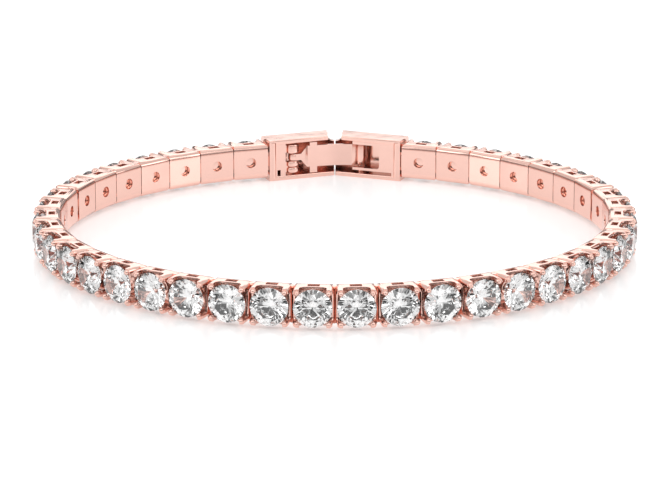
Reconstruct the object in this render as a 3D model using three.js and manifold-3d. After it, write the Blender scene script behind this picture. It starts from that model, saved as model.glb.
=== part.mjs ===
// A tennis bracelet: a closed loop of forty square box links, each with a round brilliant held by four corner
// claws, and a fold-over clasp of two channels, a folding tongue and its pin. It stands on its edge.
// Millimetres, +Z up, the front of the loop towards -Y and the clasp towards +Y.
import * as THREE from "three";
import { mergeVertices } from "three/addons/utils/BufferGeometryUtils.js";
import Module from "manifold-3d";

const wasm = await Module();
wasm.setup();

// The brilliants
const stoneDiameter = 4.0;
const tableDiameter = 2.28;
const crownHeight = 0.62;
const pavilionDepth = 1.72;
const starShare = 0.5; // how far the star facets reach from the table to the girdle
const lowerHalfShare = 0.77; // how far the lower half facets reach from the girdle to the culet
const stoneClearance = 0.06; // between a stone and the metal round it

// The chain
const linksPerSide = 20;
const linksPerSection = 5;
const stoneSpacing = 0.2; // what the link pitch adds to a stone's diameter
const linkGap = 0.25; // between two straight neighbouring links
const loopRoundness = 0.948; // the loop's depth over its width
const sideMargin = 0.025; // from a stone's edge to the link's side face

// One box link
const linkWall = 0.35;
const plateThickness = 0.45;
const plateBend = 0.5; // radius where the inner plate turns into the side walls
const girdleDepth = 2.55; // from the plate's face on the wrist to the stone's girdle
const rimDepth = 2.08; // from that face to the top of the walls
const clawReach = 0.5; // how far a claw stands above the girdle
const clawSize = 0.72;
const clawSlope = 0.25; // rise of a claw's underside over the crown, over the claw's size
const archDepth = 0.5; // of the cut-out between two claws, below the rim
const archSlant = 0.35;
const slotLength = 1.25; // of the rectangular slot in each side wall
const slotWidth = 0.72;
const slotDepth = 1.05; // from the plate's face to the slot's middle
const plateHoleDiameter = 1.2;

// The hinge between two links
const hingeDepth = 0.36; // from the plate's face to the hinge axis
const barrelRadius = 0.27;
const knuckleHeight = 1.3;
const earHeight = 0.36;
const pinRadius = 0.12;
const hingeClearance = 0.06;

// The clasp
const claspHalfLength = 8.1; // from the end hinge to the peak where the two halves meet
const claspLean = 20; // degrees that each half leans out towards the peak
const claspOverhang = 0.36; // how far the clasp stands beyond the links, above and below
const claspDepth = 3.1;
const claspWall = 0.5;
const claspBend = 0.5;
const coverGap = 0.15; // between the two covers at the peak
const railSetback = 0.8; // from the peak to the curved ends of the upper rails
const peakNotchRadius = 1.0; // in the covers' upper edge, where they meet
const peakNotchInset = 0.35; // of its middle, from that edge
const endBarRadius = 0.38;
const endBarInset = 0.6; // from the end hinge to the end bar
const endBarDepth = 0.22; // of the end bar's axis, from the plate's face
const hingePlateLength = 2.1; // inner plate of the hinge frame, from the end hinge

// The catch frame's inner plate and cross-bar
const catchPlateStart = 2.15; // from the peak
const windowEnd = 5.4; // from the peak
const windowCorner = 0.35;
const windowGap = 0.12; // round the tongue
const catchStrip = 0.3; // below the window
const crossBarRadius = 0.22;
const crossBarPlace = 3.05; // from the middle of the clasp, across
const crossBarDepth = 0.45; // from the peak, outwards
const bossRadius = 0.4;
const bossGap = 0.12; // from the tongue's edges to the bosses

// The tongue and its hinge
const tongueThickness = 0.28;
const tongueHeight = 2.5;
const tongueLift = 0.17; // the tongue's middle above the band's middle
const tongueAxisSetback = 5.0; // from the peak, along the hinge frame
const tongueAxisDepth = 0.56; // from the plate's face
const tongueBarrelRadius = 0.5;
const tonguePinRadius = 0.18;
const tonguePinClearance = 0.05;
const tongueKnuckleHeight = 0.75;
const knuckleGap = 0.06;
const stackHeight = 3.4; // of all the knuckles together
const shoulderStart = 1.0; // from the tongue's axis to where it starts to widen
const shoulderLength = 0.7;
const lugStart = 2.0; // from the tongue's axis to the side lugs
const lugLength = 0.85;
const lugClearance = 0.08;
const hookGap = 0.1; // between the tongue's hook and the cross-bar
const hookLeg = 0.25; // how far the hook reaches past the cross-bar's axis
const hookRise = 0.2; // of the hook above the tongue's flat
const armDepth = 0.12; // from the plate's face to the knuckles' arms and the tongue's tab

// What follows from them
const pitch = stoneDiameter + stoneSpacing;
const linkLength = pitch - linkGap;
const linkHeight = stoneDiameter + 2 * sideMargin;
const claspHeight = linkHeight + 2 * claspOverhang;
const bandMiddle = claspHeight / 2;
const lean = THREE.MathUtils.degToRad(claspLean);
const girdleRadius = stoneDiameter / 2;
const clawTop = girdleDepth + clawReach;
const hingeReach = knuckleHeight / 2 + hingeClearance + earHeight;

// How finely round things are drawn
const hingeSides = 6; // of the links' barrels, pins and plate holes
const pinSides = 8; // of the tongue's pin and its holes
const knuckleSides = 12; // of the tongue's knuckles, the cross-bar and its bosses
const endBarSides = 16;
const bendSteps = 1; // in a bent edge of a link or a plate
const curveSteps = 4; // in the rails' curved ends and the tongue's hook
const tongueSteps = 8; // along the tongue's curve
const beyond = 1; // how far a cutter runs past what it cuts

const roseGold = { color: 0xe8b4a4, roughness: 0.16, metalness: 1 };
const clearStone = { color: 0xf4f6f8, roughness: 0.02, metalness: 0 };

// A closed three.js geometry as a solid that can be joined and cut
function solid(geometry) {
  const bare = geometry.clone();
  bare.deleteAttribute("normal");
  bare.deleteAttribute("uv");
  const merged = mergeVertices(bare, 1e-5);
  const mesh = new wasm.Mesh({
    numProp: 3,
    vertProperties: merged.attributes.position.array,
    triVerts: new Uint32Array(merged.index.array),
  });
  return new wasm.Manifold(mesh);
}

function geometryOf(body) {
  const { vertProperties, triVerts } = body.getMesh();
  const geometry = new THREE.BufferGeometry();
  geometry.setAttribute("position", new THREE.BufferAttribute(vertProperties, 3));
  geometry.setIndex(new THREE.BufferAttribute(triVerts, 1));
  return geometry;
}

function joined(bodies) {
  return bodies.reduce((all, body) => all.add(body));
}

function cut(body, cutters) {
  return cutters.reduce((left, cutter) => left.subtract(cutter), body);
}

function block([x0, x1], [y0, y1], [z0, z1]) {
  const box = new THREE.BoxGeometry(x1 - x0, y1 - y0, z1 - z0);
  return solid(box.translate((x0 + x1) / 2, (y0 + y1) / 2, (z0 + z1) / 2));
}

// A flat outline made thick along one axis. Along z the outline is in x and y, along x in y and z, and along y
// in z and x.
function prism(shape, axis, [from, to], steps = bendSteps) {
  const turned = {
    x: [new THREE.Vector3(0, 1, 0), new THREE.Vector3(0, 0, 1), new THREE.Vector3(1, 0, 0)],
    y: [new THREE.Vector3(0, 0, 1), new THREE.Vector3(1, 0, 0), new THREE.Vector3(0, 1, 0)],
    z: [new THREE.Vector3(1, 0, 0), new THREE.Vector3(0, 1, 0), new THREE.Vector3(0, 0, 1)],
  };
  const options = { depth: to - from, bevelEnabled: false, curveSegments: steps };
  const extruded = new THREE.ExtrudeGeometry(shape, options).translate(0, 0, from);
  return solid(extruded.applyMatrix4(new THREE.Matrix4().makeBasis(...turned[axis])));
}

function polygon(points) {
  return new THREE.Shape(points.map(([a, b]) => new THREE.Vector2(a, b)));
}

// An upright bar with flat sides, whose flats lie at least the given radius from its axis when it is a cutter
function upright(x, y, radius, [z0, z1], sides = hingeSides, isCutter = false) {
  const reach = isCutter ? radius / Math.cos(Math.PI / sides) : radius;
  const bar = new THREE.CylinderGeometry(reach, reach, z1 - z0, sides).rotateX(Math.PI / 2);
  return solid(bar.translate(x, y, (z0 + z1) / 2));
}

// The brilliant: a table of eight sides, star, main and girdle facets on the crown, and main and lower facets on
// the pavilion. Its girdle is in the plane y = 0 and its table faces +y.
function brilliantGeometry() {
  const step = Math.PI / 8;
  const crownSlope = crownHeight / (girdleRadius - tableDiameter / 2);
  const pavilionSlope = pavilionDepth / girdleRadius;
  const at = (radius, turn, height) =>
    new THREE.Vector3(radius * Math.cos(turn * step), height, radius * Math.sin(turn * step));
  const tableEdge = (tableDiameter / 2) * Math.cos(step);
  const girdleEdge = girdleRadius * Math.cos(step);
  const starRadius = tableEdge + (girdleEdge - tableEdge) * starShare;
  const starHeight = (girdleRadius - starRadius * Math.cos(step)) * crownSlope;
  const lowerRadius = girdleRadius * (1 - lowerHalfShare);
  const lowerHeight = -(girdleRadius - lowerRadius * Math.cos(step)) * pavilionSlope;
  const table = (turn) => at(tableDiameter / 2, turn, crownHeight);
  const star = (turn) => at(starRadius, turn, starHeight);
  const girdle = (turn) => at(girdleRadius, turn, 0);
  const lower = (turn) => at(lowerRadius, turn, lowerHeight);
  const centre = new THREE.Vector3(0, crownHeight, 0);
  const culet = new THREE.Vector3(0, -pavilionDepth, 0);
  const corners = [];
  for (let main = 0; main < 16; main += 2) {
    const half = main + 1;
    const next = main + 2;
    corners.push(centre, table(next), table(main));
    corners.push(table(main), table(next), star(half));
    corners.push(table(main), star(half), girdle(main));
    corners.push(table(next), girdle(next), star(half));
    corners.push(star(half), girdle(half), girdle(main));
    corners.push(star(half), girdle(next), girdle(half));
    corners.push(girdle(main), girdle(half), lower(half));
    corners.push(girdle(half), girdle(next), lower(half));
    corners.push(girdle(main), lower(half), culet);
    corners.push(girdle(next), culet, lower(half));
  }
  const geometry = new THREE.BufferGeometry().setFromPoints(corners);
  geometry.computeVertexNormals();
  return geometry;
}

// The link's sheet: the inner plate and the two side walls, bent round at their edges
function linkSheet() {
  const half = linkHeight / 2;
  const sheet = new THREE.Shape();
  sheet.moveTo(clawTop, -half);
  sheet.lineTo(clawTop, half);
  sheet.lineTo(plateBend, half);
  sheet.absarc(plateBend, half - plateBend, plateBend, Math.PI / 2, Math.PI, false);
  sheet.absarc(plateBend, plateBend - half, plateBend, Math.PI, 1.5 * Math.PI, false);
  return prism(sheet, "x", [-linkLength / 2, linkLength / 2]);
}

// The opening between the claws in each side wall, narrower at its foot
function sideOpening() {
  const half = linkLength / 2 - clawSize;
  const outline = [
    [half, clawTop + beyond],
    [half, rimDepth],
    [half - archSlant, rimDepth - archDepth],
    [archSlant - half, rimDepth - archDepth],
    [-half, rimDepth],
    [-half, clawTop + beyond],
  ];
  return prism(polygon(outline), "z", [-linkHeight, linkHeight]);
}

// The end walls stop below the stone, from one side wall to the other
function endOpening() {
  const half = linkHeight / 2 - linkWall;
  return block([-linkLength, linkLength], [rimDepth - archDepth, clawTop + beyond], [-half, half]);
}

// The tip of a claw, which reaches in over the crown of the stone
function clawTip(sideX, sideZ) {
  const under = girdleDepth + clawSize * clawSlope + stoneClearance;
  const [x0, x1] = [linkLength / 2 - clawSize, linkLength / 2].map((x) => x * sideX).sort((m, n) => m - n);
  const [z0, z1] = [linkHeight / 2 - clawSize, linkHeight / 2].map((z) => z * sideZ).sort((m, n) => m - n);
  return block([x0, x1], [under, clawTop], [z0, z1]);
}

// One box link about its own middle: x along the band, y outwards from the plate's face on the wrist, z up
function boxLink() {
  const innerX = linkLength / 2 - linkWall;
  const innerZ = linkHeight / 2 - linkWall;
  const hole = new THREE.CylinderGeometry(plateHoleDiameter / 2, plateHoleDiameter / 2, 2 * beyond, hingeSides);
  const walls = cut(linkSheet(), [
    block([-innerX, innerX], [plateThickness, clawTop + beyond], [-innerZ, innerZ]),
    endOpening(),
    sideOpening(),
    block(
      [-slotLength / 2, slotLength / 2],
      [slotDepth - slotWidth / 2, slotDepth + slotWidth / 2],
      [-linkHeight, linkHeight],
    ),
    solid(hole),
  ]);
  const tips = [-1, 1].flatMap((sideX) => [-1, 1].map((sideZ) => clawTip(sideX, sideZ)));
  return joined([walls, ...tips]);
}

// A body with the half of a hinge that turns on the pin: two ears, and room for the other half's knuckle and pin
function withEars(body, x) {
  const low = knuckleHeight / 2 + hingeClearance;
  const room = hingeReach + hingeClearance;
  const ears = [-1, 1].map((side) => {
    const span = [low * side, hingeReach * side].sort((m, n) => m - n);
    return upright(x, hingeDepth, barrelRadius, span);
  });
  const knuckleRoom = upright(x, hingeDepth, barrelRadius + hingeClearance, [-low, low], hingeSides, true);
  const pinRoom = upright(x, hingeDepth, pinRadius + hingeClearance, [-room, room], hingeSides, true);
  return joined([body.subtract(knuckleRoom), ...ears]).subtract(pinRoom);
}

// A body with the other half: a knuckle with its pin, and room for the ears
function withKnuckle(body, x) {
  const low = knuckleHeight / 2;
  const earRooms = [-1, 1].map((side) => {
    const span = [low * side, (hingeReach + hingeClearance) * side].sort((m, n) => m - n);
    return upright(x, hingeDepth, barrelRadius + hingeClearance, span, hingeSides, true);
  });
  return joined([
    cut(body, earRooms),
    upright(x, hingeDepth, barrelRadius, [-low, low]),
    upright(x, hingeDepth, pinRadius, [-hingeReach, hingeReach]),
  ]);
}

// The route of the hinge axes: half of an ellipse round the front, from the middle of the front to the clasp
function onRoute(halfWidth, turn) {
  return new THREE.Vector2(halfWidth * Math.sin(turn), -halfWidth * loopRoundness * Math.cos(turn));
}

// The value between two limits at which a rising function passes a target
function solved(rising, target, low, high) {
  for (let step = 0; step < 60; step += 1) {
    const middle = (low + high) / 2;
    if (rising(middle) < target) low = middle;
    else high = middle;
  }
  return (low + high) / 2;
}

// The hinge axes of one side, each one pitch from the last
function hingeRoute(halfWidth) {
  const axes = [onRoute(halfWidth, 0)];
  let turn = 0;
  for (let link = 0; link < linksPerSide; link += 1) {
    const last = axes[link];
    const start = turn;
    turn = solved((next) => onRoute(halfWidth, next).distanceTo(last), pitch, start, start + 1);
    axes.push(onRoute(halfWidth, turn));
  }
  return axes;
}

// The loop is as wide as the last hinge axis needs to meet the end of the clasp
const claspReach = claspHalfLength * Math.cos(lean) + hingeDepth * Math.sin(lean);
const chainLength = pitch * linksPerSide;
const loopHalfWidth = solved(
  (halfWidth) => hingeRoute(halfWidth)[linksPerSide].x,
  claspReach,
  (chainLength + claspReach) / Math.PI,
  (chainLength + claspReach) / 2,
);
const rightSide = hingeRoute(loopHalfWidth);
const leftSide = rightSide.map((axis) => new THREE.Vector2(-axis.x, axis.y)).reverse();
const hingeAxes = [...leftSide, ...rightSide.slice(1)];
const peak = new THREE.Vector3(
  0,
  rightSide[linksPerSide].y + claspHalfLength * Math.sin(lean) - hingeDepth * Math.cos(lean),
  bandMiddle,
);

// Where each link lies: its own x axis runs back along the band and its y axis outwards
function linkPlace(index) {
  const before = hingeAxes[index];
  const after = hingeAxes[index + 1];
  const back = before.clone().sub(after).normalize();
  const outwards = new THREE.Vector2(-back.y, back.x);
  const middle = before.clone().add(after).multiplyScalar(0.5).addScaledVector(outwards, -hingeDepth);
  return new THREE.Matrix4().makeBasis(
    new THREE.Vector3(back.x, back.y, 0),
    new THREE.Vector3(outwards.x, outwards.y, 0),
    new THREE.Vector3(0, 0, 1),
  ).setPosition(middle.x, middle.y, bandMiddle);
}

// A mesh of one piece, placed in the bracelet's frame
function piece(name, geometry, finish, place) {
  const flat = geometry.index ? geometry.toNonIndexed() : geometry;
  flat.computeVertexNormals();
  const mesh = new THREE.Mesh(flat, new THREE.MeshStandardMaterial(finish));
  mesh.name = name;
  mesh.applyMatrix4(place);
  return mesh;
}

function twoDigits(number) {
  return String(number).padStart(2, "0");
}

// Links joined at their hinges, from the first index up to the last. The first one carries ears and the last one
// a knuckle, which turn in the neighbouring pieces.
function linkSection(first, last) {
  const middle = linkPlace(Math.round((first + last) / 2));
  const home = middle.clone().invert();
  const link = boxLink();
  const bodies = [];
  for (let index = first; index <= last; index += 1) {
    const atEars = index === first;
    const atKnuckle = index === last;
    let body = link;
    if (atEars) body = withEars(body, pitch / 2);
    if (atKnuckle) body = withKnuckle(body, -pitch / 2);
    else body = body.add(upright(-pitch / 2, hingeDepth, barrelRadius, [-hingeReach, hingeReach]));
    const placed = geometryOf(body).applyMatrix4(home.clone().multiply(linkPlace(index)));
    bodies.push(solid(placed));
  }
  const name = `links_${twoDigits(first + 1)}_${twoDigits(last + 1)}`;
  return piece(name, geometryOf(joined(bodies)), roseGold, middle);
}

function stone(index) {
  const seat = new THREE.Matrix4().makeTranslation(0, girdleDepth, 0);
  return piece(`stone_${twoDigits(index + 1)}`, brilliantGeometry(), clearStone, linkPlace(index).multiply(seat));
}

// The two halves of the clasp are drawn about the peak: x across, y outwards from the plates' faces on the wrist,
// z from the band's middle. Side -1 is the hinge frame, which lies towards -x, and side 1 the catch frame.
const railFace = claspHeight / 2 - claspWall;
const claspEnd = claspHalfLength - linkGap / 2;
const tongueLow = tongueLift - tongueHeight / 2;
const tongueHigh = tongueLift + tongueHeight / 2;

function claspPlace(side) {
  return new THREE.Matrix4().makeRotationZ(-side * lean).setPosition(peak);
}

// A span of x drawn towards one side, in rising order
function towards(side, near, far) {
  return [near * side, far * side].sort((m, n) => m - n);
}

// The cover and its two rails, bent from one sheet, with the cover mitred where the two halves meet
function claspChannel(side) {
  const half = claspHeight / 2;
  const section = new THREE.Shape();
  section.moveTo(0, -half);
  section.lineTo(claspDepth - claspBend, -half);
  section.absarc(claspDepth - claspBend, claspBend - half, claspBend, -Math.PI / 2, 0, false);
  section.absarc(claspDepth - claspBend, half - claspBend, claspBend, 0, Math.PI / 2, false);
  section.lineTo(0, half);
  section.lineTo(0, railFace);
  section.lineTo(claspDepth - claspWall, railFace);
  section.lineTo(claspDepth - claspWall, -railFace);
  section.lineTo(0, -railFace);
  const mitre = (depth) => coverGap / 2 / Math.cos(lean) - depth * Math.tan(lean);
  const coverFace = claspDepth - claspWall;
  const outline = polygon([
    [side * claspEnd, 0],
    [side * mitre(0), 0],
    [side * mitre(claspDepth), claspDepth],
    [side * claspEnd, claspDepth],
  ]);
  const railEnd = new THREE.Shape();
  railEnd.moveTo(side * railSetback, -beyond);
  railEnd.lineTo(side * railSetback, 0);
  railEnd.quadraticCurveTo(side * railSetback, coverFace / 2, side * mitre(coverFace), coverFace);
  railEnd.lineTo(side * (mitre(coverFace) - beyond), coverFace);
  railEnd.lineTo(side * (mitre(coverFace) - beyond), -beyond);
  const notch = new THREE.CylinderGeometry(peakNotchRadius, peakNotchRadius, claspDepth, knuckleSides);
  notch.translate(side * mitre(coverFace), claspDepth, half - peakNotchInset);
  const run = prism(section, "x", towards(side, mitre(claspDepth) - beyond, claspEnd));
  return cut(run.intersect(prism(outline, "z", [-claspHeight, claspHeight])), [
    prism(railEnd, "z", [0, claspHeight], curveSteps),
    solid(notch),
  ]);
}

function endBlock(side) {
  const reach = railFace + claspWall / 2;
  const barPlace = side * (claspHalfLength - endBarInset);
  const bar = upright(barPlace, endBarDepth, endBarRadius, [-reach, reach], endBarSides);
  const wall = block(towards(side, claspEnd - claspWall, claspEnd), [0, claspDepth - claspWall / 2], [-reach, reach]);
  return [bar, wall];
}

// The knuckles of the hinge frame that the tongue turns between, with the arms that hold them to the plate
function tongueKnuckles() {
  const low = tongueLift - tongueKnuckleHeight / 2 - knuckleGap;
  const high = tongueLift + tongueKnuckleHeight / 2 + knuckleGap;
  const plateEdge = hingePlateLength - claspHalfLength;
  return [[-stackHeight / 2, low], [high, stackHeight / 2]].flatMap((span) => [
    upright(-tongueAxisSetback, tongueAxisDepth, tongueBarrelRadius, span, knuckleSides),
    block([plateEdge - claspWall, -tongueAxisSetback], [armDepth, armDepth + tongueThickness], span),
  ]);
}

function hingeFrame() {
  const reach = railFace + claspWall / 2;
  const plate = block([-claspEnd, hingePlateLength - claspHalfLength], [0, claspWall], [-reach, reach]);
  const body = joined([claspChannel(-1), plate, ...endBlock(-1), ...tongueKnuckles()]);
  const hole = tonguePinRadius + tonguePinClearance;
  const height = [-railFace, railFace];
  const pinHole = upright(-tongueAxisSetback, tongueAxisDepth, hole, height, pinSides, true);
  return withKnuckle(body.subtract(pinHole), -claspHalfLength);
}

// The catch frame's inner plate has a window, open towards the peak, for the hooked end of the tongue
function catchPlate() {
  const reach = railFace + claspWall / 2;
  const low = tongueLow - windowGap;
  const high = tongueHigh + windowGap;
  const window = new THREE.Shape();
  window.moveTo(low, 0);
  window.lineTo(high, 0);
  window.lineTo(high, windowEnd - windowCorner);
  window.absarc(high - windowCorner, windowEnd - windowCorner, windowCorner, 0, Math.PI / 2, false);
  window.absarc(low + windowCorner, windowEnd - windowCorner, windowCorner, Math.PI / 2, Math.PI, false);
  const plate = block([catchPlateStart, claspEnd], [0, claspWall], [low - catchStrip, reach]);
  const foot = block([claspHalfLength - 2 * endBarInset, claspEnd], [0, claspWall], [-reach, reach]);
  return plate.subtract(prism(window, "y", [-beyond, beyond])).add(foot);
}

function crossBar() {
  const x = crossBarPlace * Math.cos(lean) - crossBarDepth * Math.sin(lean);
  const y = crossBarPlace * Math.sin(lean) + crossBarDepth * Math.cos(lean);
  const reach = railFace + claspWall / 2;
  return [
    upright(x, y, crossBarRadius, [-reach, reach], knuckleSides),
    upright(x, y, bossRadius, [-reach, tongueLow - bossGap], knuckleSides),
    upright(x, y, bossRadius, [tongueHigh + bossGap, reach], knuckleSides),
  ];
}

function catchFrame() {
  return withEars(joined([claspChannel(1), catchPlate(), ...endBlock(1), ...crossBar()]), claspHalfLength);
}

// The tongue's axis, about the peak, and the tongue drawn about that axis
const tongueAxis = new THREE.Vector3(-tongueAxisSetback, tongueAxisDepth, 0).applyAxisAngle(
  new THREE.Vector3(0, 0, 1),
  lean,
);

// The bent sheet of the tongue, seen from above: straight along the hinge frame, then curving to the hook
function tongueSheet() {
  const along = new THREE.Vector2(Math.cos(lean), Math.sin(lean));
  const middle = armDepth + tongueThickness / 2 - tongueAxisDepth;
  const root = new THREE.Vector2(-middle * Math.sin(lean), middle * Math.cos(lean));
  const bendStart = root.clone().addScaledVector(along, shoulderStart);
  const hook = new THREE.Vector2(crossBarPlace - tongueAxis.x, crossBarDepth - tongueAxis.y);
  const hookRadius = crossBarRadius + hookGap + tongueThickness / 2;
  const tip = new THREE.Vector2(hook.x - hookRadius, hook.y - hookRadius + hookRise);
  const turnAt = bendStart.clone().addScaledVector(along, (tip.y - bendStart.y) / along.y);
  const line = new THREE.Path([root]);
  line.lineTo(bendStart.x, bendStart.y);
  line.quadraticCurveTo(turnAt.x, turnAt.y, tip.x, tip.y);
  const points = line.getPoints(tongueSteps);
  const edges = [1, -1].map((face) =>
    points.map((point, index) => {
      const before = points[Math.max(index - 1, 0)];
      const after = points[Math.min(index + 1, points.length - 1)];
      const run = after.clone().sub(before).normalize();
      return new THREE.Vector2(-run.y, run.x).multiplyScalar((face * tongueThickness) / 2).add(point);
    }),
  );
  const sheet = new THREE.Shape([...edges[0], ...edges[1].reverse()]);
  const ring = new THREE.Shape();
  const outer = hookRadius + tongueThickness / 2;
  const inner = hookRadius - tongueThickness / 2;
  ring.moveTo(hook.x - outer, hook.y + hookLeg);
  ring.lineTo(hook.x - outer, hook.y);
  ring.absarc(hook.x, hook.y, outer, Math.PI, 2 * Math.PI, false);
  ring.lineTo(hook.x + outer, hook.y + hookLeg);
  ring.lineTo(hook.x + inner, hook.y + hookLeg);
  ring.absarc(hook.x, hook.y, inner, 2 * Math.PI, Math.PI, true);
  ring.lineTo(hook.x - inner, hook.y + hookLeg);
  const height = [-railFace, railFace];
  return prism(sheet, "z", height).add(prism(ring, "z", height, curveSteps));
}

// The tongue's face: a narrow tab at the hinge, shoulders, the full width and a lug on each side
function tongueFace() {
  const tabLow = tongueLift - tongueKnuckleHeight / 2;
  const tabHigh = tongueLift + tongueKnuckleHeight / 2;
  const lugReach = railFace - lugClearance;
  const full = shoulderStart + shoulderLength;
  const end = crossBarPlace - tongueAxis.x + pitch;
  const face = polygon([
    [tabLow, -tongueBarrelRadius],
    [tabHigh, -tongueBarrelRadius],
    [tabHigh, shoulderStart],
    [tongueHigh, full],
    [tongueHigh, lugStart],
    [lugReach, lugStart],
    [lugReach, lugStart + lugLength],
    [tongueHigh, lugStart + lugLength],
    [tongueHigh, end],
    [tongueLow, end],
    [tongueLow, lugStart + lugLength],
    [-lugReach, lugStart + lugLength],
    [-lugReach, lugStart],
    [tongueLow, lugStart],
    [tongueLow, full],
    [tabLow, shoulderStart],
  ]);
  return prism(face, "y", [-pitch, pitch]);
}

function tongue() {
  const span = [tongueLift - tongueKnuckleHeight / 2, tongueLift + tongueKnuckleHeight / 2];
  const barrel = upright(0, 0, tongueBarrelRadius, span, knuckleSides);
  const pinHole = upright(0, 0, tonguePinRadius + tonguePinClearance, [-pitch, pitch], pinSides, true);
  return tongueSheet().intersect(tongueFace()).add(barrel).subtract(pinHole);
}

const bracelet = new THREE.Group();
for (let first = 0; first < 2 * linksPerSide; first += linksPerSection) {
  bracelet.add(linkSection(first, Math.min(first + linksPerSection, 2 * linksPerSide) - 1));
}
for (let index = 0; index < 2 * linksPerSide; index += 1) bracelet.add(stone(index));

const tonguePlace = new THREE.Matrix4().setPosition(peak.clone().add(tongueAxis));
const pinReach = stackHeight / 2 - tonguePinClearance;
const pinBody = upright(0, 0, tonguePinRadius, [-pinReach, pinReach], pinSides);
bracelet.add(
  piece("clasp_hinge_frame", geometryOf(hingeFrame()), roseGold, claspPlace(-1)),
  piece("clasp_catch_frame", geometryOf(catchFrame()), roseGold, claspPlace(1)),
  piece("clasp_tongue", geometryOf(tongue()), roseGold, tonguePlace),
  piece("clasp_tongue_pin", geometryOf(pinBody), roseGold, tonguePlace),
);

// The origin is the middle of the bracelet's box, at its base
const box = new THREE.Box3().setFromObject(bracelet, true);
bracelet.position.set(-(box.min.x + box.max.x) / 2, -(box.min.y + box.max.y) / 2, -box.min.z);

export default bracelet;
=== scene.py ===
import math

import bmesh
import bpy
from mathutils import Matrix, Vector


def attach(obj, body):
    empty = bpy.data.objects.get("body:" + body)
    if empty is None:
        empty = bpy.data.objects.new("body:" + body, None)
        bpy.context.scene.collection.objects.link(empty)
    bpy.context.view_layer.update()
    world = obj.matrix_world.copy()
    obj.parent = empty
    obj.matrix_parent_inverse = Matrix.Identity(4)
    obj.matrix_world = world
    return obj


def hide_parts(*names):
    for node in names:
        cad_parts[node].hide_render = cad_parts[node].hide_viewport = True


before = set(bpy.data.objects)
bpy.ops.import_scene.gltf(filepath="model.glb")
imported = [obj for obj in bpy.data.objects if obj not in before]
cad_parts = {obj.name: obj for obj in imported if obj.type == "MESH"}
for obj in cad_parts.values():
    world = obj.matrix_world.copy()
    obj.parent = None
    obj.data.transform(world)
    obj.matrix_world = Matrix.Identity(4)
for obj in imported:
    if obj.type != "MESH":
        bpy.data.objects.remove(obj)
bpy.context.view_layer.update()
bpy.ops.object.select_all(action="DESELECT")

# Camera
# The bracelet is seen from the front and a little above, from about seven times its width, so that the
# clasp at the back shows inside the loop.
image_width = 661
sensor = 36.0
focal_pixels = 4018.0
distance = 0.437
elevation = math.radians(16.1)
target = Vector((0.0, -0.0008, 0.0006))
bpy.ops.object.camera_add(
    location=target + distance * Vector((0.0, -math.cos(elevation), math.sin(elevation))),
    rotation=(math.pi / 2 - elevation, 0.0, 0.0),
)
camera = bpy.context.active_object
camera.data.sensor_width = sensor
camera.data.lens = focal_pixels / image_width * sensor
camera.data.shift_x = -0.0065
camera.data.clip_start = 0.05
camera.data.clip_end = 20.0
bpy.context.scene.camera = camera

# Table and studio
# A white, slightly glossy table in a studio that is bright overhead and darker near the horizon. Soft boxes
# give the metal its white bands, and the dark behind the camera gives the stones their contrast.
bpy.ops.mesh.primitive_plane_add(size=6.0, location=(0.0, 0.0, 0.0))
table = bpy.context.active_object
table.name = "table"
table_top = bpy.data.materials.new("white_table")
table_top.use_nodes = True
surface = table_top.node_tree.nodes["Principled BSDF"]
surface.inputs["Base Color"].default_value = (0.85, 0.85, 0.85, 1.0)
surface.inputs["Roughness"].default_value = 0.2
surface.inputs["Specular IOR Level"].default_value = 0.5
surface.inputs["Emission Color"].default_value = (1.0, 1.0, 1.0, 1.0)
surface.inputs["Emission Strength"].default_value = 0.32
table.data.materials.append(table_top)

room = bpy.data.worlds.new("studio")
bpy.context.scene.world = room
room.use_nodes = True
nodes = room.node_tree.nodes
links = room.node_tree.links
direction = nodes.new("ShaderNodeTexCoord")
height = nodes.new("ShaderNodeSeparateXYZ")
wall_tone = nodes.new("ShaderNodeValToRGB")
tones = wall_tone.color_ramp
tones.elements[0].position, tones.elements[0].color = 0.0, (0.6, 0.6, 0.6, 1.0)
tones.elements[1].position, tones.elements[1].color = 1.0, (1.0, 1.0, 1.0, 1.0)
for place, tone in ((0.10, 0.55), (0.14, 0.1), (0.20, 0.1), (0.26, 0.95), (0.6, 1.0)):
    tones.elements.new(place).color = (tone, tone, tone, 1.0)
facing = nodes.new("ShaderNodeVectorMath")
facing.operation = "DOT_PRODUCT"
facing.inputs[1].default_value = (0.0, -math.cos(elevation), math.sin(elevation))
behind_camera = nodes.new("ShaderNodeMapRange")
behind_camera.inputs["From Min"].default_value = 0.945
behind_camera.inputs["From Max"].default_value = 0.975
behind_camera.inputs["To Min"].default_value = 1.0
behind_camera.inputs["To Max"].default_value = 0.0
shaded = nodes.new("ShaderNodeMath")
shaded.operation = "MULTIPLY"
links.new(direction.outputs["Generated"], height.inputs["Vector"])
links.new(direction.outputs["Generated"], facing.inputs[0])
links.new(height.outputs["Z"], wall_tone.inputs["Fac"])
links.new(facing.outputs["Value"], behind_camera.inputs["Value"])
links.new(wall_tone.outputs["Color"], shaded.inputs[0])
links.new(behind_camera.outputs["Result"], shaded.inputs[1])
links.new(shaded.outputs["Value"], nodes["Background"].inputs["Color"])
nodes["Background"].inputs["Strength"].default_value = 0.8

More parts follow.
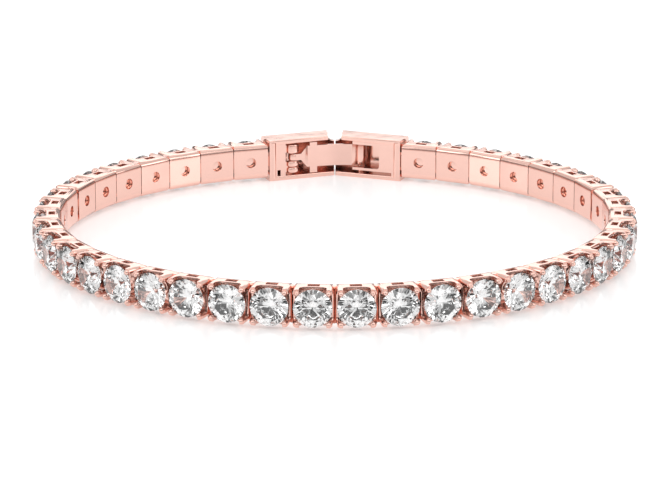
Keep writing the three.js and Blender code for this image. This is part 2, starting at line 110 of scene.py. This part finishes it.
soft_boxes = {
    "top_box": ((0.0, 0.1, 0.6), (0.55, 0.45), 0.25),
    "front_box": ((0.0, -0.5, 0.55), (0.7, 0.25), 0.8),
    "left_box": ((-0.55, -0.2, 0.3), (0.25, 0.4), 0.5),
    "right_box": ((0.55, -0.2, 0.3), (0.25, 0.4), 0.5),
    "back_box": ((0.0, 0.7, 0.35), (0.9, 0.35), 0.9),
}
for name, (place, size, power) in soft_boxes.items():
    bpy.ops.object.light_add(type="AREA", location=place)
    box = bpy.context.active_object
    box.name = name
    box.rotation_euler = (-Vector(place)).to_track_quat("-Z", "Y").to_euler()
    box.data.shape = "RECTANGLE"
    box.data.size, box.data.size_y = size
    box.data.energy = power
bpy.context.scene.view_settings.view_transform = "Standard"

# Stones
# Forty round brilliants of cubic zirconia, 4 mm across, polished, with 57 facets. One is cut here from a
# round blank, one flat at a time, as a cutter does, and a copy of it is set in each link.
mm = 0.001
girdle_radius = 2.0 * mm
table_radius = 1.14 * mm
crown_height = 0.62 * mm
pavilion_depth = 1.72 * mm
girdle_half = 0.065 * mm
girdle_depth = 2.55 * mm
blank_depth = 6 * mm
stone_count = 40
star_share = 0.5
lower_share = 0.77
eighth = math.pi / 4
turned_to = eighth / 2


def around(radius, angle, height):
    """A point at an angle round the stone's axis."""
    return Vector((radius * math.cos(angle), height, radius * math.sin(angle)))


def cut_flat(a, b, c):
    """Cuts away what lies beyond the plane through three points."""
    normal = (b - a).cross(c - a).normalized()
    if normal.dot(a) < 0:
        normal.negate()
    bpy.ops.mesh.select_all(action="SELECT")
    bpy.ops.mesh.bisect(plane_co=a, plane_no=normal, clear_outer=True, use_fill=True, threshold=1e-7)


bpy.ops.mesh.primitive_cylinder_add(
    vertices=64, radius=girdle_radius, depth=blank_depth, rotation=(math.pi / 2, 0.0, 0.0)
)
stone = bpy.context.active_object
bpy.ops.object.transform_apply(location=True, rotation=True, scale=True)
bpy.ops.object.mode_set(mode="EDIT")
cut_flat(*[around(1 * mm, angle, crown_height) for angle in (0.0, 2.0, 4.0)])
table_edge = table_radius * math.cos(eighth / 2)
star_radius = table_edge + (girdle_radius - table_edge) * star_share
main_rise = (crown_height - girdle_half) / (girdle_radius - table_radius)
star_height = crown_height - main_rise * (star_radius * math.cos(eighth / 2) - table_radius)
pavilion_rise = (pavilion_depth - girdle_half) / girdle_radius
lower_radius = girdle_radius * (1 - lower_share)
lower_height = pavilion_rise * lower_radius * math.cos(eighth / 2) - pavilion_depth
culet = Vector((0.0, -pavilion_depth, 0.0))
for facet in range(8):
    main = turned_to + facet * eighth
    before, after = main - eighth / 2, main + eighth / 2
    tip = around(girdle_radius, main, girdle_half)
    foot = around(girdle_radius, main, -girdle_half)
    star_before = around(star_radius, before, star_height)
    star_after = around(star_radius, after, star_height)
    table_before = around(table_radius, main, crown_height)
    table_after = around(table_radius, main + eighth, crown_height)
    cut_flat(tip, star_before, star_after)
    cut_flat(table_before, table_after, star_after)
    cut_flat(tip, star_after, around(girdle_radius, after, girdle_half))
    cut_flat(tip, star_before, around(girdle_radius, before, girdle_half))
    lower_before = around(lower_radius, before, lower_height)
    lower_after = around(lower_radius, after, lower_height)
    cut_flat(culet, lower_before, lower_after)
    cut_flat(foot, lower_after, around(girdle_radius, after, -girdle_half))
    cut_flat(foot, lower_before, around(girdle_radius, before, -girdle_half))
bpy.ops.mesh.select_all(action="SELECT")
bpy.ops.mesh.remove_doubles(threshold=2e-6)
bpy.ops.mesh.normals_make_consistent(inside=False)
bpy.ops.object.mode_set(mode="OBJECT")
stone.name = "stone_blank"

zirconia = bpy.data.materials.new("cubic_zirconia")
zirconia.use_nodes = True
shine = zirconia.node_tree.nodes["Principled BSDF"]
shine.inputs["Base Color"].default_value = (1.0, 1.0, 1.0, 1.0)
shine.inputs["Roughness"].default_value = 0.0
shine.inputs["IOR"].default_value = 2.16
shine.inputs["Transmission Weight"].default_value = 1.0
stone.data.materials.append(zirconia)


def seat_of(node):
    """The place of the link that holds a stone: its plate's face, with x along the band and y outwards."""
    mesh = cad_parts[node].data
    areas = {}
    for face in mesh.polygons:
        key = tuple(round(part, 3) for part in face.normal)
        area, centre, normal = areas.get(key, (0.0, Vector(), Vector()))
        areas[key] = (area + face.area, centre + face.center * face.area, normal + face.normal * face.area)
    area, centre, normal = max(areas.values(), key=lambda entry: entry[0])
    outwards = (normal / area).normalized()
    middle = centre / area - outwards * (crown_height + girdle_depth)
    up = Vector((0.0, 0.0, 1.0))
    along = outwards.cross(up)
    return Matrix.Translation(middle) @ Matrix((along, outwards, up)).transposed().to_4x4()


def set_copy(model, name, place):
    """A copy of a finished model, with its own mesh, put in its place."""
    piece = model.copy()
    piece.data = model.data.copy()
    piece.name = name
    piece.data.name = name
    bpy.context.scene.collection.objects.link(piece)
    piece.data.transform(place)
    return piece


seats = [seat_of(f"stone_{number:02d}") for number in range(1, stone_count + 1)]
raised = Matrix.Translation((0.0, girdle_depth, 0.0))
for number, seat in enumerate(seats, start=1):
    brilliant = set_copy(stone, f"brilliant_{number:02d}", seat @ raised)
    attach(brilliant, "bracelet")
    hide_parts(f"stone_{number:02d}")
bpy.data.objects.remove(stone)

# Links
# Forty square box settings, cast and polished brass with rose-gold plate. The inner plate bends round into
# the side walls; the corners run on as four claws, pressed over the stone's crown.
link_length = 4.06 * mm
link_height = 4.05 * mm
link_wall = 0.35 * mm
plate_thickness = 0.45 * mm
claw_top = 3.05 * mm
prong_top = 2.7 * mm
fold = 0.72 * mm
corner_bevel = 0.38 * mm
claw_width = 0.62 * mm
end_post = 0.5 * mm
arch_foot = 1.62 * mm
arch_corner = 0.6 * mm
end_corner = 0.4 * mm
slot_length = 1.25 * mm
slot_width = 0.72 * mm
slot_depth = 1.05 * mm
slot_corner = 0.07 * mm
hole_radius = 0.6 * mm
cutter_reach = 3 * mm
sharp_angle = 34.0
pitch = 4.2 * mm
hinge_depth = 0.36 * mm
knuckle_half = 0.65 * mm
hinge_gap = 0.05 * mm
hinge_reach = 1.07 * mm
barrel = 0.18 * mm
pin_radius = 0.12 * mm


def select_faces(chosen):
    """Selects the faces of the edited mesh for which the test holds, and nothing else."""
    edited = bmesh.from_edit_mesh(bpy.context.edit_object.data)
    for face in edited.faces:
        face.select_set(False)
    bpy.ops.mesh.select_mode(type="FACE")
    for face in edited.faces:
        face.select_set(chosen(face))
    bmesh.update_edit_mesh(bpy.context.edit_object.data)


def select_edges(chosen):
    """Selects the edges of the edited mesh for which the test holds, and nothing else."""
    bpy.ops.mesh.select_mode(type="EDGE")
    edited = bmesh.from_edit_mesh(bpy.context.edit_object.data)
    for edge in edited.edges:
        edge.select_set(False)
    for edge in edited.edges:
        edge.select_set(chosen(*[corner.co for corner in edge.verts]))
    bmesh.update_edit_mesh(bpy.context.edit_object.data)


def add_block(low, high):
    """A block between two corners, in edit mode."""
    bpy.ops.mesh.primitive_cube_add(size=1.0)
    made = bpy.context.active_object
    made.location = (Vector(low) + Vector(high)) / 2
    made.scale = Vector(high) - Vector(low)
    bpy.ops.object.transform_apply(location=True, rotation=True, scale=True)
    bpy.ops.object.mode_set(mode="EDIT")
    return made


def add_bar(x, y, radius, low, high, sides=32):
    """An upright round bar, in object mode."""
    bpy.ops.mesh.primitive_cylinder_add(
        vertices=sides, radius=radius, depth=high - low, location=(x, y, (low + high) / 2)
    )
    bpy.ops.object.transform_apply(location=True, rotation=True, scale=True)
    return bpy.context.active_object


def apply_boolean(body, tool, operation):
    """Joins a tool to a body or cuts it away, and removes the tool."""
    bpy.ops.object.select_all(action="DESELECT")
    bpy.context.view_layer.objects.active = body
    body.select_set(True)
    bpy.ops.object.modifier_add(type="BOOLEAN")
    body.modifiers[-1].operation = operation
    body.modifiers[-1].solver = "EXACT"
    body.modifiers[-1].object = tool
    bpy.ops.object.modifier_apply(modifier=body.modifiers[-1].name)
    bpy.data.objects.remove(tool)


def soften(body, width, segments=2, limit=sharp_angle):
    """Rounds the sharp edges a little, as polishing does, and shades the rest smooth."""
    bpy.ops.object.select_all(action="DESELECT")
    bpy.context.view_layer.objects.active = body
    body.select_set(True)
    bpy.ops.object.modifier_add(type="BEVEL")
    body.modifiers[-1].width = width
    body.modifiers[-1].segments = segments
    body.modifiers[-1].limit_method = "ANGLE"
    body.modifiers[-1].angle_limit = math.radians(limit)
    bpy.ops.object.modifier_apply(modifier=body.modifiers[-1].name)


def join_all(body, others, finish):
    """Makes one object of a body and its fittings, in one material, with its large faces shaded flat."""
    bpy.ops.object.select_all(action="DESELECT")
    for other in others:
        other.select_set(True)
    body.select_set(True)
    bpy.context.view_layer.objects.active = body
    bpy.ops.object.join()
    body.data.materials.clear()
    body.data.materials.append(finish)
    bpy.ops.object.shade_smooth_by_angle(angle=math.radians(sharp_angle))
    bpy.ops.object.modifier_add(type="WEIGHTED_NORMAL")
    body.modifiers[-1].keep_sharp = True
    bpy.ops.object.modifier_apply(modifier=body.modifiers[-1].name)


half_length = link_length / 2
half_height = link_height / 2
folded = add_block(
    (-half_length - 1 * mm, 0.0, -half_height),
    (half_length + 1 * mm, prong_top, half_height),
)
select_edges(lambda a, b: max(a.y, b.y) < 1e-6 and abs(a.x - b.x) > 1 * mm)
bpy.ops.mesh.bevel(offset=fold, segments=8, profile=0.6, affect="EDGES")
bpy.ops.object.mode_set(mode="OBJECT")
link = add_block((-half_length, -1 * mm, -half_height), (half_length, prong_top + 1 * mm, half_height))
select_edges(lambda a, b: abs(a.y - b.y) > 1 * mm)
bpy.ops.mesh.bevel(offset=corner_bevel, segments=5, profile=0.5, affect="EDGES")
bpy.ops.object.mode_set(mode="OBJECT")
apply_boolean(link, folded, "INTERSECT")
bpy.ops.object.mode_set(mode="EDIT")
select_faces(lambda face: face.normal.y > 0.9 and face.calc_center_median().y > 1 * mm)
bpy.ops.mesh.inset(thickness=link_wall)
bpy.ops.mesh.extrude_region_move(TRANSFORM_OT_translate={"value": (0.0, plate_thickness - prong_top, 0.0)})
bpy.ops.object.mode_set(mode="OBJECT")
link.name = "link_blank"

slot_tool = add_block(
    (-slot_length / 2, slot_depth - slot_width / 2, -cutter_reach),
    (slot_length / 2, slot_depth + slot_width / 2, cutter_reach),
)
select_edges(lambda a, b: abs(a.z - b.z) > 1 * mm)
bpy.ops.mesh.bevel(offset=slot_corner, segments=3, affect="EDGES")
bpy.ops.object.mode_set(mode="OBJECT")
apply_boolean(link, slot_tool, "DIFFERENCE")

arch_half = half_length - claw_width
arch_tool = add_block((-arch_half, arch_foot, -cutter_reach), (arch_half, 4 * mm, cutter_reach))
select_edges(lambda a, b: abs(a.z - b.z) > 1 * mm and a.y < 2 * mm)
bpy.ops.mesh.bevel(offset=arch_corner, segments=6, affect="EDGES")
bpy.ops.object.mode_set(mode="OBJECT")
apply_boolean(link, arch_tool, "DIFFERENCE")

end_half = half_height - end_post
end_tool = add_block((-cutter_reach, arch_foot, -end_half), (cutter_reach, 4 * mm, end_half))
select_edges(lambda a, b: abs(a.x - b.x) > 1 * mm and a.y < 2 * mm)
bpy.ops.mesh.bevel(offset=end_corner, segments=5, affect="EDGES")
bpy.ops.object.mode_set(mode="OBJECT")
apply_boolean(link, end_tool, "DIFFERENCE")

bpy.ops.mesh.primitive_cylinder_add(
    vertices=32, radius=hole_radius, depth=2 * mm, location=(0.0, 0.0, 0.0), rotation=(math.pi / 2, 0.0, 0.0)
)
bpy.ops.object.transform_apply(location=True, rotation=True, scale=True)
apply_boolean(link, bpy.context.active_object, "DIFFERENCE")

knuckle_room = add_bar(
    pitch / 2, hinge_depth, barrel + hinge_gap, -knuckle_half - hinge_gap, knuckle_half + hinge_gap
)
apply_boolean(link, knuckle_room, "DIFFERENCE")
for side in (-1, 1):
    low, high = sorted((side * knuckle_half, side * (hinge_reach + hinge_gap)))
    apply_boolean(link, add_bar(-pitch / 2, hinge_depth, barrel + hinge_gap, low, high), "DIFFERENCE")
soften(link, 0.05 * mm)

rose_gold = bpy.data.materials.new("rose_gold_plate")
rose_gold.use_nodes = True
nodes = rose_gold.node_tree.nodes
links = rose_gold.node_tree.links
metal = nodes["Principled BSDF"]
metal.inputs["Base Color"].default_value = (0.89, 0.57, 0.49, 1.0)
metal.inputs["Metallic"].default_value = 1.0
where = nodes.new("ShaderNodeTexCoord")
polish = nodes.new("ShaderNodeTexNoise")
polish.inputs["Scale"].default_value = 900.0
polish.inputs["Detail"].default_value = 4.0
polish_range = nodes.new("ShaderNodeMapRange")
polish_range.inputs["To Min"].default_value = 0.08
polish_range.inputs["To Max"].default_value = 0.2
ripple = nodes.new("ShaderNodeTexNoise")
ripple.inputs["Scale"].default_value = 350.0
ripple.inputs["Detail"].default_value = 2.0
ripple_bump = nodes.new("ShaderNodeBump")
ripple_bump.inputs["Strength"].default_value = 0.12
ripple_bump.inputs["Distance"].default_value = 0.0002
links.new(where.outputs["Object"], polish.inputs["Vector"])
links.new(where.outputs["Object"], ripple.inputs["Vector"])
links.new(polish.outputs["Fac"], polish_range.inputs["Value"])
links.new(polish_range.outputs["Result"], metal.inputs["Roughness"])
links.new(ripple.outputs["Fac"], ripple_bump.inputs["Height"])
links.new(ripple_bump.outputs["Normal"], metal.inputs["Normal"])

# What is soldered on: a bar between this link and the next one, a shallow dish under the stone behind the
# plate's hole, four rounded claw tips, and the hinge's knuckle on one side and two ears on the other.
bar_depth = 0.85 * mm
bar_radius = 0.4 * mm
bar_half = 1.95 * mm
extras = [add_bar(-pitch / 2, bar_depth, bar_radius, -bar_half, bar_half, 4)]
dish_radius = 0.85 * mm
dish_depth = 0.56 * mm
dish_flatness = 0.14
bpy.ops.mesh.primitive_uv_sphere_add(
    segments=32, ring_count=16, radius=dish_radius, rotation=(math.pi / 2, 0.0, 0.0)
)
bpy.ops.object.transform_apply(location=True, rotation=True, scale=True)
seat_dish = bpy.context.active_object
seat_dish.scale = (1.0, dish_flatness, 1.0)
seat_dish.location = (0.0, dish_depth, 0.0)
bpy.ops.object.transform_apply(location=True, rotation=True, scale=True)
extras.append(seat_dish)
claw_inset = 0.4 * mm
claw_centre_x = half_length - claw_inset
claw_centre_z = half_height - claw_inset
claw_size = 0.32 * mm
claw_rise = 0.45 * mm
for side_x in (-1, 1):
    for side_z in (-1, 1):
        corner = Vector((side_x * claw_centre_x, 0.0, side_z * claw_centre_z))
        bpy.ops.mesh.primitive_uv_sphere_add(
            segments=20, ring_count=12, radius=1.0, rotation=(math.pi / 2, 0.0, 0.0)
        )
        claw = bpy.context.active_object
        bpy.ops.object.transform_apply(location=True, rotation=True, scale=True)
        claw.scale = (claw_size, claw_rise, claw_size)
        claw.location = corner + Vector((0.0, claw_top - claw_rise, 0.0))
        bpy.ops.object.transform_apply(location=True, rotation=True, scale=True)
        extras.append(claw)
extras.append(add_bar(-pitch / 2, hinge_depth, barrel, -knuckle_half, knuckle_half, 24))
extras.append(add_bar(-pitch / 2, hinge_depth, pin_radius, -hinge_reach, hinge_reach, 12))
for side in (-1, 1):
    low, high = sorted((side * (knuckle_half + hinge_gap), side * hinge_reach))
    extras.append(add_bar(pitch / 2, hinge_depth, barrel, low, high, 24))
join_all(link, extras, rose_gold)

for number, seat in enumerate(seats, start=1):
    setting = set_copy(link, f"link_{number:02d}", seat)
    first = (number - 1) // 5 * 5 + 1
    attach(setting, "bracelet")
    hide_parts(f"links_{first:02d}_{first + 4:02d}")
bpy.data.objects.remove(link)

# Clasp frames
# The two halves of the fold-over clasp, plated brass. Each is a channel of bent sheet, open towards the
# wrist, with a round bar across its outer end and an inner plate soldered between its rails.
lean = math.radians(20.0)
peak = Vector((0.0, 28.933 * mm, 2.385 * mm))
clasp_half = 2.385 * mm
clasp_depth = 3.1 * mm
clasp_wall = 0.5 * mm
clasp_bend = 0.5 * mm
clasp_end = 7.975 * mm
clasp_hinge = 8.1 * mm
cover_gap = 0.075 * mm
rail_inner = clasp_half - clasp_wall
into_rail = rail_inner + clasp_wall / 2
rail_edge = 0.12 * mm
rail_setback = 0.8 * mm
rail_curve = 2.859 * mm
notch_radius = 1.0 * mm
notch_inset = 0.35 * mm
end_bar = 7.5 * mm
end_bar_depth = 0.26 * mm
end_bar_radius = 0.38 * mm
plate_back = 0.07 * mm
plate_front = 0.5 * mm
plate_outer = 7.8 * mm
hinge_plate_start = 6.0 * mm
catch_plate_start = 2.15 * mm
window_gap = 0.12 * mm
window_end = 5.4 * mm
window_corner = 0.35 * mm
tongue_low = -1.08 * mm
tongue_high = 1.42 * mm


def finish_object():
    """Leaves edit mode and gives the edited object."""
    bpy.ops.object.mode_set(mode="OBJECT")
    return bpy.context.active_object


def add_span(side, near, far, depths, heights):
    """A block between two distances from the peak, towards one side."""
    low, high = sorted((side * near, side * far))
    add_block((low, depths[0], heights[0]), (high, depths[1], heights[1]))
    return finish_object()


def add_channel(side):
    """The cover and its rails: a block hollowed from the wrist side; the upper rail ends in a curve."""
    low, high = sorted((side * clasp_end, -side * 1.6 * mm))
    body = add_block((low, 0.0, -clasp_half), (high, clasp_depth, clasp_half))
    select_faces(lambda face: face.normal.y < -0.9)
    bpy.ops.mesh.inset(thickness=clasp_wall)
    bpy.ops.mesh.extrude_region_move(TRANSFORM_OT_translate={"value": (0.0, clasp_depth - clasp_wall, 0.0)})
    select_edges(
        lambda a, b: min(a.y, b.y) > clasp_depth - 1e-6
        and abs(a.z - b.z) < 1e-6
        and abs(abs(a.z) - clasp_half) < 1e-6
    )
    bpy.ops.mesh.bevel(offset=clasp_bend, segments=8, profile=0.5, affect="EDGES")
    select_edges(lambda a, b: max(a.y, b.y) < 1e-6 and abs(a.z - b.z) < 1e-6)
    bpy.ops.mesh.bevel(offset=rail_edge, segments=4, profile=0.5, affect="EDGES")
    body = finish_object()
    rail_tool = add_bar(side * (rail_setback - rail_curve), 0.0, rail_curve, 0.0, 3 * mm, 128)
    apply_boolean(body, rail_tool, "DIFFERENCE")
    return body


def lean_back(body, side):
    """Turns a finished half into its place and trims its cover where it meets the other one."""
    body.data.transform(Matrix.Translation(peak) @ Matrix.Rotation(-side * lean, 4, "Z"))
    low, high = sorted((side * cover_gap, -side * 9 * mm))
    add_block((low, 20 * mm, -5 * mm), (high, 40 * mm, 10 * mm))
    apply_boolean(body, finish_object(), "DIFFERENCE")


def notch_peak(body):
    """Cuts half of the round notch in the upper edge of the covers, where they meet."""
    bpy.ops.mesh.primitive_cylinder_add(
        vertices=64,
        radius=notch_radius,
        depth=4 * mm,
        location=peak + Vector((0.0, 3.5 * mm, clasp_half - notch_inset)),
        rotation=(math.pi / 2, 0.0, 0.0),
    )
    bpy.ops.object.transform_apply(location=True, rotation=True, scale=True)
    apply_boolean(body, bpy.context.active_object, "DIFFERENCE")


hinge_half = add_channel(-1)
hinge_plate = add_span(-1, hinge_plate_start, plate_outer, (plate_back, plate_front), (-into_rail, into_rail))
apply_boolean(hinge_half, hinge_plate, "UNION")
plate_notch = add_span(-1, 6.62 * mm, 7.0 * mm, (-1 * mm, 1 * mm), (-1.87 * mm, -1.15 * mm))
apply_boolean(hinge_half, plate_notch, "DIFFERENCE")
for side in (-1, 1):
    low, high = sorted((side * knuckle_half, side * (hinge_reach + hinge_gap)))
    apply_boolean(hinge_half, add_bar(-clasp_hinge, hinge_depth, barrel + hinge_gap, low, high), "DIFFERENCE")
lean_back(hinge_half, -1)
notch_peak(hinge_half)
soften(hinge_half, 0.04 * mm)

knuckle_x = -5.0 * mm
knuckle_y = 0.56 * mm
knuckle_radius = 0.5 * mm
lobe_width = 1.5
lobe_place = Matrix.Translation((knuckle_x, knuckle_y, 0.0)) @ Matrix.Diagonal((lobe_width, 1.0, 1.0, 1.0))
hinge_parts = [add_bar(-end_bar, end_bar_depth, end_bar_radius, -into_rail, into_rail, 40)]
for low, high in ((-1.7, -0.99), (-0.975, -0.265), (0.605, 1.7)):
    lobe = add_bar(0.0, 0.0, knuckle_radius, low * mm, high * mm, 40)
    soften(lobe, 0.2 * mm, 5)
    lobe.data.transform(lobe_place)
    hinge_parts.append(lobe)
for heights in ((-1.6, -0.35), (0.7, 1.6)):
    arm_heights = tuple(height * mm for height in heights)
    arm = add_span(-1, 5.0 * mm, 6.3 * mm, (0.5 * mm, 0.8 * mm), arm_heights)
    soften(arm, 0.05 * mm)
    hinge_parts.append(arm)
hinge_parts.append(add_bar(-clasp_hinge, hinge_depth, barrel, -knuckle_half, knuckle_half, 24))
hinge_parts.append(add_bar(-clasp_hinge, hinge_depth, pin_radius, -hinge_reach, hinge_reach, 12))
for part in hinge_parts:
    part.data.transform(Matrix.Translation(peak) @ Matrix.Rotation(lean, 4, "Z"))
join_all(hinge_half, hinge_parts, rose_gold)
hinge_half.name = "hinge_frame"
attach(hinge_half, "bracelet")
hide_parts("clasp_hinge_frame")

catch_half = add_channel(1)
catch_plate = add_span(1, catch_plate_start, plate_outer, (plate_back, plate_front), (-into_rail, into_rail))
low_strip = add_span(1, 2.0 * mm, 6.9 * mm, (-1 * mm, 1 * mm), (-3 * mm, -1.5 * mm))
apply_boolean(catch_plate, low_strip, "DIFFERENCE")
apply_boolean(catch_half, catch_plate, "UNION")
add_block((0.5 * mm, -1 * mm, tongue_low - window_gap), (window_end, 1 * mm, tongue_high + window_gap))
select_edges(lambda a, b: abs(a.y - b.y) > 1 * mm and a.x > 5 * mm)
bpy.ops.mesh.bevel(offset=window_corner, segments=6, affect="EDGES")
apply_boolean(catch_half, finish_object(), "DIFFERENCE")
knuckle_room = add_bar(
    clasp_hinge, hinge_depth, barrel + hinge_gap, -knuckle_half - hinge_gap, knuckle_half + hinge_gap
)
apply_boolean(catch_half, knuckle_room, "DIFFERENCE")
lean_back(catch_half, 1)
notch_peak(catch_half)
soften(catch_half, 0.04 * mm)

bar_x = 2.7122 * mm
bar_y = 1.466 * mm
cross_bar_radius = 0.22 * mm
boss_radius = 0.4 * mm
catch_parts = [
    add_bar(end_bar, end_bar_depth, end_bar_radius, -into_rail, into_rail, 40),
    add_bar(bar_x, bar_y, cross_bar_radius, -into_rail, into_rail, 24),
]
for low, high in ((-into_rail, tongue_low - window_gap), (tongue_high + window_gap, into_rail)):
    boss = add_bar(bar_x, bar_y, boss_radius, low, high, 32)
    soften(boss, 0.06 * mm)
    catch_parts.append(boss)
for side in (-1, 1):
    low, high = sorted((side * (knuckle_half + hinge_gap), side * hinge_reach))
    catch_parts.append(add_bar(clasp_hinge, hinge_depth, barrel, low, high, 24))
for part in catch_parts:
    part.data.transform(Matrix.Translation(peak) @ Matrix.Rotation(-lean, 4, "Z"))
join_all(catch_half, catch_parts, rose_gold)
catch_half.name = "catch_frame"
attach(catch_half, "bracelet")
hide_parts("clasp_catch_frame")

# Clasp tongue
# The folding lever, one strip of plated sheet: a narrow tab rolled round the pin, shoulders, the full width
# with a lug on each side, a long bend of 20 degrees, a short one of 50 and a hook that snaps over the
# cross-bar. The pin is a plain rod.
tongue_axis = Vector((-4.8900 * mm, -1.1839 * mm, 0.0))
tongue_sheet = 0.28 * mm
sheet_middle = -0.3 * mm
along = Vector((math.cos(lean), math.sin(lean), 0.0))
root = Vector((-sheet_middle * math.sin(lean), sheet_middle * math.cos(lean), 0.0))
straight = 1.283 * mm
bend_radius = 16.04 * mm
hook = Vector((7.94 * mm, 1.6339 * mm, 0.0))
hook_radius = 0.46 * mm
hook_leg = 0.25 * mm
dive_radius = 0.9 * mm
dive = math.radians(50.0)


def extrude_end(chosen, offset):
    """Draws one end of the edited block out."""
    select_faces(chosen)
    bpy.ops.mesh.extrude_region_move(TRANSFORM_OT_translate={"value": offset})


# The strip starts as a thin upright block at the root, is drawn out straight and is spun round its two bends.
add_block((-0.01 * mm, -tongue_sheet / 2, -rail_inner), (0.01 * mm, tongue_sheet / 2, rail_inner))
blade = finish_object()
blade.data.transform(Matrix.Translation(root) @ Matrix.Rotation(lean, 4, "Z"))
bpy.ops.object.mode_set(mode="EDIT")
extrude_end(lambda face: face.normal.dot(along) > 0.9, straight * along)
bend_centre = root + straight * along + bend_radius * Vector((math.sin(lean), -math.cos(lean), 0.0))
bpy.ops.mesh.spin(steps=12, angle=lean, center=bend_centre, axis=(0.0, 0.0, 1.0))
arc_end = bend_centre + Vector((0.0, bend_radius, 0.0))
dive_centre = arc_end + Vector((0.0, dive_radius, 0.0))
bpy.ops.mesh.spin(steps=8, angle=dive, center=dive_centre, axis=(0.0, 0.0, -1.0))
blade = finish_object()

add_block(
    (hook.x - hook_radius - tongue_sheet / 2, hook.y, tongue_low),
    (hook.x - hook_radius + tongue_sheet / 2, hook.y + hook_leg, tongue_high),
)
select_faces(lambda face: face.normal.y < -0.9)
bpy.ops.mesh.spin(steps=20, angle=math.pi, center=hook, axis=(0.0, 0.0, -1.0))
bpy.ops.mesh.extrude_region_move(TRANSFORM_OT_translate={"value": (0.0, hook_leg, 0.0)})
curl = finish_object()

tab_half = 0.375 * mm
lift = 0.17 * mm
add_block((-0.5 * mm, -6 * mm, lift - tab_half), (1.0 * mm, 6 * mm, lift + tab_half))
extrude_end(lambda face: face.normal.x > 0.9, (0.7 * mm, 0.0, 0.0))
bpy.ops.transform.resize(value=(1.0, 1.0, 1.25 * mm / tab_half))
bpy.ops.mesh.extrude_region_move(TRANSFORM_OT_translate={"value": (6.0 * mm, 0.0, 0.0)})
outline = finish_object()
lug_reach = rail_inner - 0.08 * mm
add_block((2.0 * mm, -6 * mm, -lug_reach), (2.85 * mm, 6 * mm, lug_reach))
apply_boolean(outline, finish_object(), "UNION")
apply_boolean(blade, outline, "INTERSECT")
soften(blade, 0.05 * mm, 3, 30.0)
soften(curl, 0.05 * mm, 3, 30.0)
roll = add_bar(0.0, 0.0, knuckle_radius, lift - tab_half, lift + tab_half, 40)
soften(roll, 0.15 * mm, 4)
join_all(blade, [curl, roll], rose_gold)
blade.data.transform(Matrix.Translation(peak + tongue_axis))
blade.name = "tongue_blade"
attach(blade, "tongue")
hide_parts("clasp_tongue")

pin = add_bar(0.0, 0.0, 0.18 * mm, -1.65 * mm, 1.65 * mm, 24)
soften(pin, 0.05 * mm, 3)
pin.data.transform(Matrix.Translation(peak + tongue_axis))
join_all(pin, [], rose_gold)
pin.name = "tongue_pin"
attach(pin, "bracelet")
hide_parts("clasp_tongue_pin")
